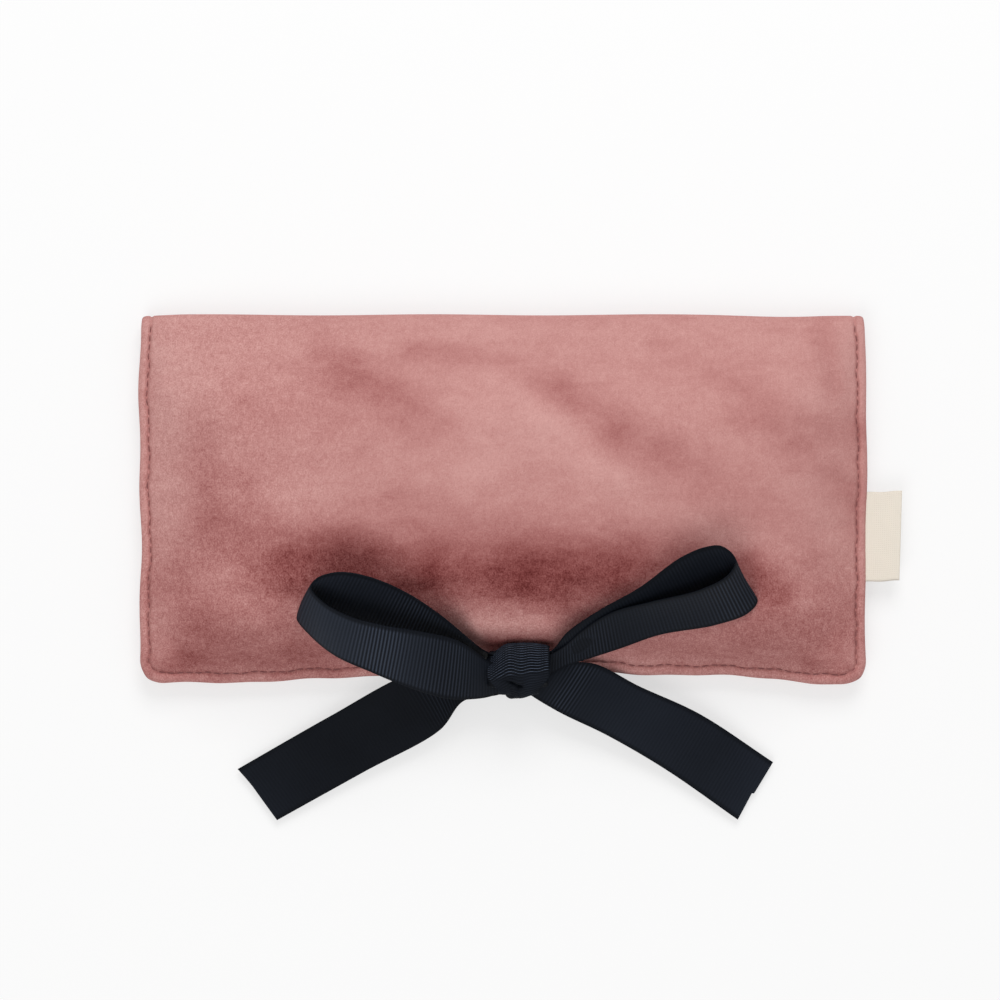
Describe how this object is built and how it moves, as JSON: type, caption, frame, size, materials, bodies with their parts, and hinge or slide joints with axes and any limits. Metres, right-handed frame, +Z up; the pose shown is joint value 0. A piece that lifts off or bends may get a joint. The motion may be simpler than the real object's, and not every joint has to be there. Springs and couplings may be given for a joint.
{
  "type": "jewelry roll",
  "caption": "Padded velvet jewelry roll with a fold-over flap tied by a ribbon bow, zip pockets, a slip pocket and a snap-in ring bar inside.",
  "frame": {"origin": "centre of the back cover's flat underside, on the surface that the closed roll lies on", "axes": "+X to the right along the fold, +Y towards the fold, +Z up from the back cover to the flap"},
  "size_m": [0.2415, 0.1607, 0.0449],
  "materials": {
    "velvet": "short-pile dusty rose velvet",
    "wadding": "loose white wadding",
    "lining": "pale blush woven lining, slight sheen",
    "grosgrain": "ribbed navy grosgrain ribbon",
    "zip_tape": "woven rose zip tape",
    "zip_coil": "nylon coil",
    "gold_metal": "polished pale gold plating",
    "foam": "soft white foam rod",
    "elastic": "gathered blush elastic casing",
    "label_tape": "cream woven cotton tape, bare"
  },
  "bodies": {
    "back": {"back_shell": "velvet", "back_padding": "wadding", "back_lining": "lining", "fold_shell": "velvet", "fold_lining": "lining", "pocket_header": "lining", "upper_pocket_panel": "lining", "lower_pocket_panel": "lining", "upper_zip_tape_upper": "zip_tape", "upper_zip_tape_lower": "zip_tape", "upper_zip_coil": "zip_coil", "upper_zip_stop_left": "gold_metal", "upper_zip_stop_right": "gold_metal", "lower_zip_tape_upper": "zip_tape", "lower_zip_tape_lower": "zip_tape", "lower_zip_coil": "zip_coil", "lower_zip_stop_left": "gold_metal", "lower_zip_stop_right": "gold_metal", "back_ribbon_tab": "grosgrain"},
    "upper_slider": {"upper_slider_body": "gold_metal"},
    "upper_pull": {"upper_zip_pull": "gold_metal"},
    "lower_slider": {"lower_slider_body": "gold_metal"},
    "lower_pull": {"lower_zip_pull": "gold_metal"},
    "flap": {"flap_shell": "velvet", "flap_padding": "wadding", "flap_lining": "lining", "slip_pocket_panel": "lining", "slip_pocket_elastic": "elastic", "ring_bar_base_tab": "lining", "snap_stud": "gold_metal", "bow_knot_wrap": "grosgrain", "bow_knot_core": "grosgrain", "bow_loop_left": "grosgrain", "bow_loop_right": "grosgrain", "bow_tail_left": "grosgrain", "bow_tail_right": "grosgrain", "flap_ribbon_tab": "grosgrain", "side_label": "label_tape"},
    "ring_bar": {"ring_bar_cover": "lining", "ring_bar_core": "foam", "ring_bar_snap_tab": "lining", "snap_socket": "gold_metal", "snap_cap": "gold_metal"}
  },
  "joints": [
    {"name": "flap_fold", "type": "hinge", "parent": "back", "child": "flap", "pos_m": [0, 0.0588, 0.0043], "axis": [-1, 0, 0], "range_deg": [0, 145], "deforming": ["fold_shell", "fold_lining"]},
    {"name": "upper_zip_slide", "type": "slide", "parent": "back", "child": "upper_slider", "axis": [-1, 0, 0], "range_m": [0, 0.144]},
    {"name": "upper_pull_flip", "type": "hinge", "parent": "upper_slider", "child": "upper_pull", "pos_m": [0.072, 0.022, 0.0095], "axis": [0, 1, 0], "range_deg": [0, 180]},
    {"name": "lower_zip_slide", "type": "slide", "parent": "back", "child": "lower_slider", "axis": [1, 0, 0], "range_m": [0, 0.144]},
    {"name": "lower_pull_flip", "type": "hinge", "parent": "lower_slider", "child": "lower_pull", "pos_m": [-0.072, -0.014, 0.0095], "axis": [0, -1, 0], "range_deg": [0, 180]},
    {"name": "ring_bar_swing", "type": "hinge", "parent": "flap", "child": "ring_bar", "pos_m": [-0.072, -0.03, 0.0158], "axis": [0, 0, 1], "range_deg": [0, 12]}
  ]
}
